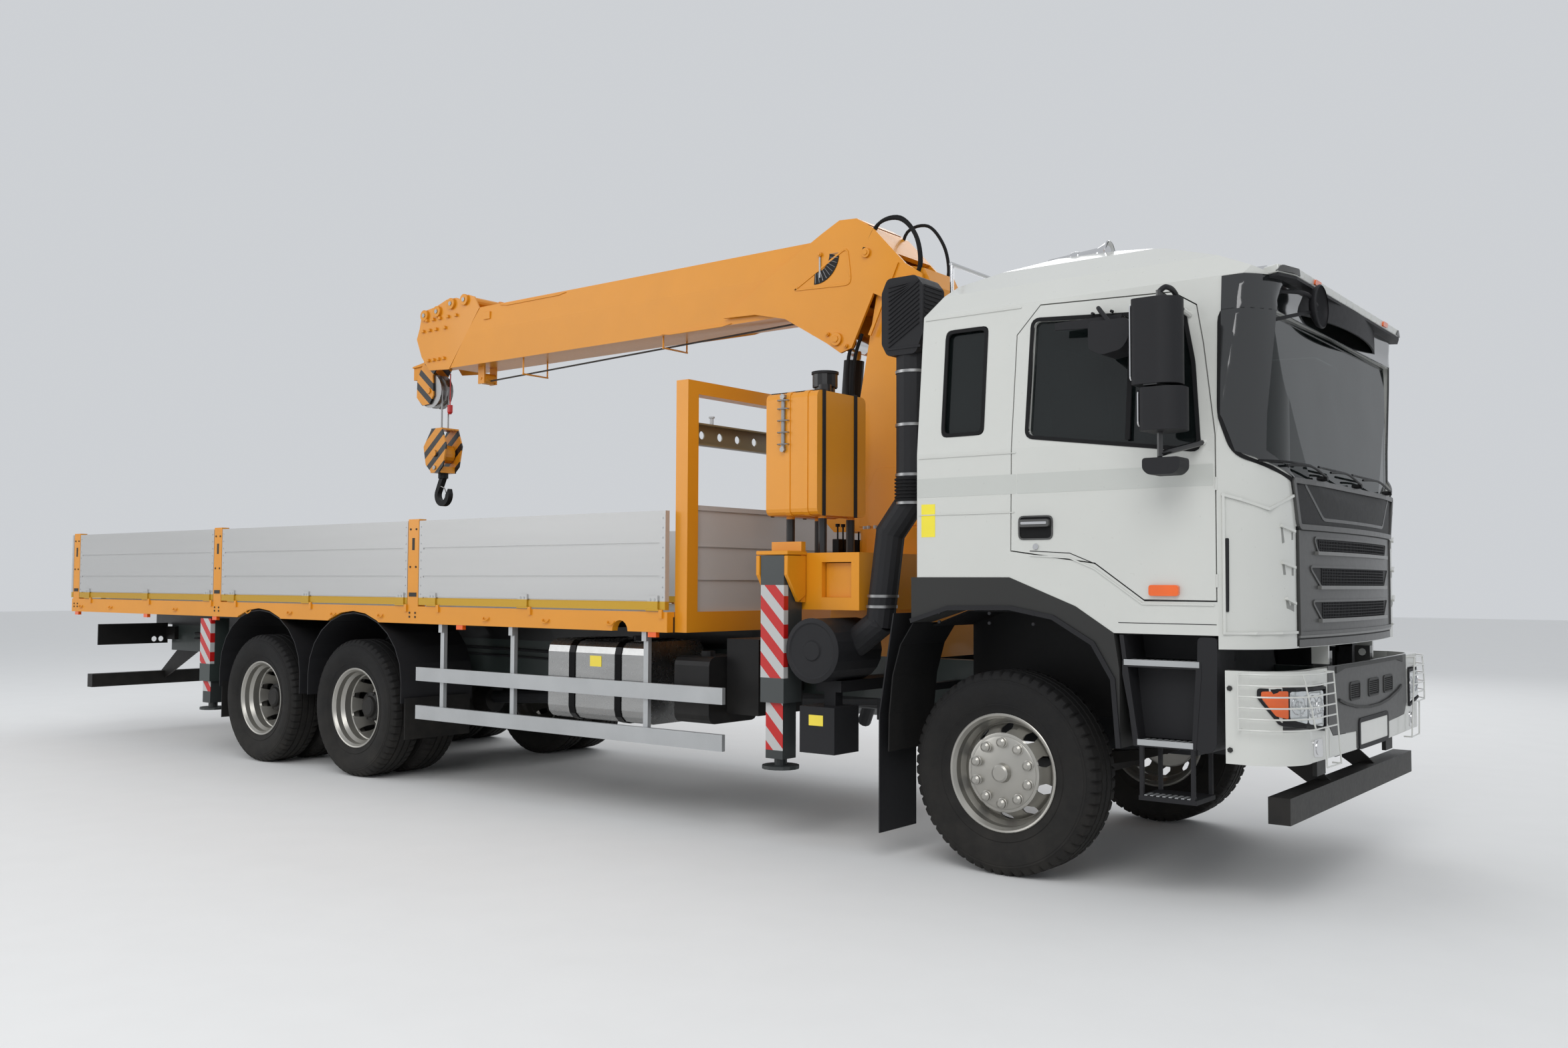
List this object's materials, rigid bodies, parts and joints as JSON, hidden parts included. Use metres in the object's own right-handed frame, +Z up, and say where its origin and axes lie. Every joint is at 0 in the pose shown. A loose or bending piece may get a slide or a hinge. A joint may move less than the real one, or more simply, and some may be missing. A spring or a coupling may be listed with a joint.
{
  "type": "truck-mounted crane",
  "caption": "Flatbed truck with drop sides and outriggers, with a slewing telescopic boom crane between its tilting cab and the bed.",
  "frame": {"origin": "on the ground under the middle of the overall length, on the centre line", "axes": "+X towards the front of the truck, +Y to its left, +Z up"},
  "size_m": [11.9891, 3.09, 3.95],
  "materials": {
    "frame_grey": "satin",
    "engine_metal": "matte",
    "lamp_lens": "gloss",
    "trim_black": "matte",
    "tank_aluminium": "polished",
    "board_silver": "satin",
    "crane_yellow": "gloss",
    "cab_white": "gloss",
    "window_glass": "gloss",
    "cab_lining": "matte",
    "horn_metal": "polished",
    "wheel_tyre": "matte",
    "jack_grey": "satin",
    "cylinder_black": "satin",
    "rod_chrome": "polished",
    "sheave_metal": "satin",
    "hook_black": "satin"
  },
  "bodies": {
    "chassis": {"chassis_frame": "frame_grey", "front_axle": "frame_grey", "rear_axles": "frame_grey", "driveline": "engine_metal", "bumper": "cab_white", "lamps": "lamp_lens", "underrun_bars": "frame_grey", "cab_steps": "trim_black", "fuel_tank": "tank_aluminium", "service_boxes": "trim_black", "air_intake": "trim_black", "side_guards": "board_silver", "mudguards": "trim_black", "exhaust_and_air_tanks": "engine_metal", "deck": "crane_yellow", "headboard": "crane_yellow", "crane_base": "crane_yellow", "oil_tank": "crane_yellow"},
    "cab": {"cab_shell": "cab_white", "cab_glass": "window_glass", "cab_trims": "trim_black", "sun_visor": "trim_black", "cab_interior": "cab_lining", "roof_gear": "horn_metal"},
    "door_right": {"door_right": "cab_white", "door_glass_right": "window_glass"},
    "door_left": {"door_left": "cab_white", "door_glass_left": "window_glass"},
    "drop_side_front_right": {"drop_side_front_right": "board_silver"},
    "drop_side_front_left": {"drop_side_front_left": "board_silver"},
    "drop_side_middle_right": {"drop_side_middle_right": "board_silver"},
    "drop_side_middle_left": {"drop_side_middle_left": "board_silver"},
    "drop_side_rear_right": {"drop_side_rear_right": "board_silver"},
    "drop_side_rear_left": {"drop_side_rear_left": "board_silver"},
    "tailgate": {"tailgate": "board_silver"},
    "knuckle_right": {"knuckle_right": "frame_grey"},
    "knuckle_left": {"knuckle_left": "frame_grey"},
    "wheel_front_right": {"wheel_front_right": "wheel_tyre"},
    "wheel_front_left": {"wheel_front_left": "wheel_tyre"},
    "wheel_middle_right": {"wheel_middle_right": "wheel_tyre"},
    "wheel_middle_left": {"wheel_middle_left": "wheel_tyre"},
    "wheel_rear_right": {"wheel_rear_right": "wheel_tyre"},
    "wheel_rear_left": {"wheel_rear_left": "wheel_tyre"},
    "outrigger_right": {"outrigger_right": "crane_yellow"},
    "front_jack_right": {"front_jack_right": "jack_grey"},
    "rear_jack_right": {"rear_jack_right": "jack_grey"},
    "outrigger_left": {"outrigger_left": "crane_yellow"},
    "front_jack_left": {"front_jack_left": "jack_grey"},
    "rear_jack_left": {"rear_jack_left": "jack_grey"},
    "column": {"column": "crane_yellow"},
    "luff_barrel": {"luff_barrel": "cylinder_black"},
    "luff_rod": {"luff_rod": "rod_chrome"},
    "boom_base": {"boom_base": "crane_yellow"},
    "boom_section_2": {"boom_section_2": "crane_yellow"},
    "boom_section_3": {"boom_section_3": "crane_yellow"},
    "boom_tip": {"boom_tip": "crane_yellow"},
    "head_sheave": {"head_sheave": "sheave_metal"},
    "hook_block": {"hook_block": "crane_yellow"},
    "hook": {"hook": "hook_black"}
  },
  "joints": [
    {"name": "cab_tilt", "type": "hinge", "parent": "chassis", "child": "cab", "pos_m": [5.855, 0, 1.15], "axis": [0, 1, 0], "range_deg": [0, 50]},
    {"name": "door_right_hinge", "type": "hinge", "parent": "cab", "child": "door_right", "pos_m": [5.639, -1.246, 2], "axis": [0, 0, 1], "range_deg": [0, 70]},
    {"name": "door_left_hinge", "type": "hinge", "parent": "cab", "child": "door_left", "pos_m": [5.639, 1.246, 2], "axis": [0, 0, -1], "range_deg": [0, 70]},
    {"name": "drop_side_front_right_hinge", "type": "hinge", "parent": "chassis", "child": "drop_side_front_right", "pos_m": [-1.545, -1.2575, 1.338], "axis": [1, 0, 0], "range_deg": [0, 175]},
    {"name": "drop_side_front_left_hinge", "type": "hinge", "parent": "chassis", "child": "drop_side_front_left", "pos_m": [-1.545, 1.2575, 1.338], "axis": [-1, 0, 0], "range_deg": [0, 175]},
    {"name": "drop_side_middle_right_hinge", "type": "hinge", "parent": "chassis", "child": "drop_side_middle_right", "pos_m": [-1.545, -1.2575, 1.338], "axis": [1, 0, 0], "range_deg": [0, 175]},
    {"name": "drop_side_middle_left_hinge", "type": "hinge", "parent": "chassis", "child": "drop_side_middle_left", "pos_m": [-1.545, 1.2575, 1.338], "axis": [-1, 0, 0], "range_deg": [0, 175]},
    {"name": "drop_side_rear_right_hinge", "type": "hinge", "parent": "chassis", "child": "drop_side_rear_right", "pos_m": [-1.545, -1.2575, 1.338], "axis": [1, 0, 0], "range_deg": [0, 175]},
    {"name": "drop_side_rear_left_hinge", "type": "hinge", "parent": "chassis", "child": "drop_side_rear_left", "pos_m": [-1.545, 1.2575, 1.338], "axis": [-1, 0, 0], "range_deg": [0, 175]},
    {"name": "tailgate_hinge", "type": "hinge", "parent": "chassis", "child": "tailgate", "pos_m": [-5.988, 0, 1.338], "axis": [0, -1, 0], "range_deg": [0, 175]},
    {"name": "steer_right", "type": "hinge", "parent": "chassis", "child": "knuckle_right", "pos_m": [4.455, -0.88, 0.53], "axis": [0, 0, 1], "range_deg": [-35, 35]},
    {"name": "steer_left", "type": "hinge", "parent": "chassis", "child": "knuckle_left", "pos_m": [4.455, 0.88, 0.53], "axis": [0, 0, 1], "range_deg": [-36, 36]},
    {"name": "spin_front_right", "type": "hinge", "parent": "knuckle_right", "child": "wheel_front_right", "pos_m": [4.455, -1.01, 0.53], "axis": [0, 1, 0], "continuous": true},
    {"name": "spin_front_left", "type": "hinge", "parent": "knuckle_left", "child": "wheel_front_left", "pos_m": [4.455, 1.01, 0.53], "axis": [0, 1, 0], "continuous": true},
    {"name": "spin_middle_right", "type": "hinge", "parent": "chassis", "child": "wheel_middle_right", "pos_m": [-1.145, -0.92, 0.53], "axis": [0, 1, 0], "continuous": true},
    {"name": "spin_middle_left", "type": "hinge", "parent": "chassis", "child": "wheel_middle_left", "pos_m": [-1.145, 0.92, 0.53], "axis": [0, 1, 0], "continuous": true},
    {"name": "spin_rear_right", "type": "hinge", "parent": "chassis", "child": "wheel_rear_right", "pos_m": [-2.495, -0.92, 0.53], "axis": [0, 1, 0], "continuous": true},
    {"name": "spin_rear_left", "type": "hinge", "parent": "chassis", "child": "wheel_rear_left", "pos_m": [-2.495, 0.92, 0.53], "axis": [0, 1, 0], "continuous": true},
    {"name": "outrigger_right_slide", "type": "slide", "parent": "chassis", "child": "outrigger_right", "axis": [0, -1, 0], "range_m": [0, 1.5]},
    {"name": "front_jack_right_slide", "type": "slide", "parent": "outrigger_right", "child": "front_jack_right", "axis": [0, 0, -1], "range_m": [0, 0.42]},
    {"name": "rear_jack_right_slide", "type": "slide", "parent": "chassis", "child": "rear_jack_right", "axis": [0, 0, -1], "range_m": [0, 0.37]},
    {"name": "outrigger_left_slide", "type": "slide", "parent": "chassis", "child": "outrigger_left", "axis": [0, 1, 0], "range_m": [0, 1.5]},
    {"name": "front_jack_left_slide", "type": "slide", "parent": "outrigger_left", "child": "front_jack_left", "axis": [0, 0, -1], "range_m": [0, 0.42]},
    {"name": "rear_jack_left_slide", "type": "slide", "parent": "chassis", "child": "rear_jack_left", "axis": [0, 0, -1], "range_m": [0, 0.37]},
    {"name": "slew", "type": "hinge", "parent": "chassis", "child": "column", "pos_m": [3.175, 0, 1.79], "axis": [0, 0, 1], "continuous": true},
    {"name": "luff", "type": "hinge", "parent": "column", "child": "boom_base", "pos_m": [3.305, 0, 3.42], "axis": [0, 1, 0], "range_deg": [0, 76]},
    {"name": "luff_barrel_pivot", "type": "hinge", "parent": "column", "child": "luff_barrel", "pos_m": [2.643, 0, 1.98], "axis": [0, 1, 0], "range_deg": [-1, 5]},
    {"name": "luff_rod_slide", "type": "slide", "parent": "luff_barrel", "child": "luff_rod", "axis": [0.0798, 0, 0.9968], "range_m": [0, 0.79]},
    {"name": "boom_extend", "type": "slide", "parent": "boom_base", "child": "boom_section_2", "axis": [-1, 0, 0], "range_m": [0, 3.1]},
    {"name": "boom_extend_third", "type": "slide", "parent": "boom_base", "child": "boom_section_3", "axis": [-1, 0, 0], "range_m": [0, 6.2]},
    {"name": "boom_extend_tip", "type": "slide", "parent": "boom_base", "child": "boom_tip", "axis": [-1, 0, 0], "range_m": [0, 9.3]},
    {"name": "head_swing", "type": "hinge", "parent": "boom_tip", "child": "head_sheave", "pos_m": [-1.795, 0, 3.195], "axis": [0, 1, 0], "range_deg": [-80, 5]},
    {"name": "hoist", "type": "slide", "parent": "head_sheave", "child": "hook_block", "axis": [0, 0, -1], "range_m": [-0.1, 0.75]},
    {"name": "hook_swivel", "type": "hinge", "parent": "hook_block", "child": "hook", "pos_m": [-1.685, 0, 2.46], "axis": [0, 0, 1], "continuous": true}
  ],
  "couplings": [
    {"joint": "steer_left", "follows": "steer_right", "ratio": 1},
    {"joint": "luff_barrel_pivot", "follows": "luff", "ratio": 0.034},
    {"joint": "luff_rod_slide", "follows": "luff", "m_per_rad": 0.592},
    {"joint": "head_swing", "follows": "luff", "ratio": -1},
    {"joint": "boom_extend_third", "follows": "boom_extend", "ratio": 2},
    {"joint": "boom_extend_tip", "follows": "boom_extend", "ratio": 3}
  ]
}
